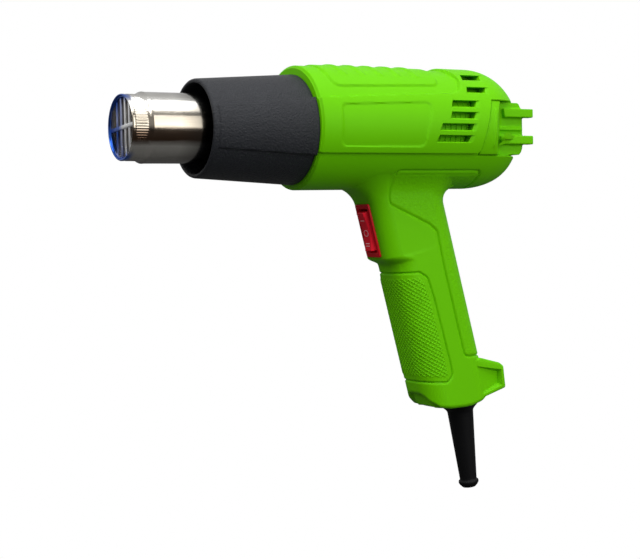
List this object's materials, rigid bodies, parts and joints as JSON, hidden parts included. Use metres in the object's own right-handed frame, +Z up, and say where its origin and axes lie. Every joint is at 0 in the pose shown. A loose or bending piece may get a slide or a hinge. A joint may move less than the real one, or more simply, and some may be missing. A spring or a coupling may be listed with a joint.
{
  "type": "hot air gun",
  "caption": "Pistol-grip hot-air gun with a round steel outlet tube, dark sleeve, green housing with vents, rear feet, a rocker switch and a cord boot.",
  "frame": {"origin": "centre of the air outlet, on the barrel's axis", "axes": "+X from the outlet to the rear feet, +Z up with the handle hanging down, Y=0 is the housing's parting plane"},
  "size_m": [0.2457, 0.071, 0.2465],
  "materials": {
    "housing": "satin moulded plastic, lime green",
    "rear_cover": "satin moulded plastic, lime green",
    "sleeve": "heat-resistant plastic, dark slate, fine grain",
    "outlet_tube": "bright drawn steel, blued by heat at the lip",
    "grille": "stamped steel, partly blued by heat",
    "switch_frame": "moulded plastic, red",
    "switch_paddle": "moulded plastic, bright red",
    "boot": "black",
    "terminals": "tinned brass",
    "mica": "mica sheet",
    "winding": "resistance wire",
    "ceramic": "fired ceramic",
    "cutout": "plated can",
    "zinc_steel": "zinc-plated steel",
    "screw_steel": "steel",
    "dark_plastic": "glass-filled plastic",
    "fan_plastic": "ivory plastic",
    "shaft_steel": "ground steel",
    "armature": "laminated steel with copper winding",
    "copper": "copper segments",
    "magnet": "ferrite",
    "bronze": "sintered bronze",
    "pale_plastic": "nylon",
    "board": "circuit board",
    "black_epoxy": "moulded epoxy",
    "capacitor": "boxed film capacitor"
  },
  "bodies": {
    "housing": {"housing_left": "housing", "housing_right": "housing", "front_sleeve": "sleeve", "nozzle_tube": "outlet_tube", "outlet_grille": "grille", "rear_cap": "rear_cover", "switch_body": "switch_frame", "switch_terminals": "terminals", "cord_boot": "boot", "insulator_tube": "mica", "heater_core": "mica", "heater_coil": "winding", "heater_base": "ceramic", "thermal_cutout": "cutout", "tube_flange": "zinc_steel", "flange_screws": "screw_steel", "air_duct": "dark_plastic", "motor_can": "zinc_steel", "motor_magnets": "magnet", "shaft_bushes": "bronze", "motor_end_bell": "pale_plastic", "motor_brushes": "terminals", "motor_bracket": "dark_plastic", "motor_screws": "screw_steel", "rectifier_board": "board", "rectifier_diodes": "black_epoxy", "suppressor": "capacitor", "cord_clamp": "pale_plastic", "clamp_screws": "screw_steel", "housing_screws": "screw_steel"},
    "paddle": {"switch_rocker": "switch_paddle"},
    "rotor": {"fan_impeller": "fan_plastic", "motor_shaft": "shaft_steel", "motor_armature": "armature", "commutator": "copper"}
  },
  "joints": [
    {"name": "switch_tilt", "type": "hinge", "parent": "housing", "child": "paddle", "pos_m": [0.15462, 0, -0.0547], "axis": [0, 1, 0], "range_deg": [-8, 8]},
    {"name": "fan_spin", "type": "hinge", "parent": "housing", "child": "rotor", "pos_m": [0.16, 0, 0], "axis": [1, 0, 0], "continuous": true}
  ]
}
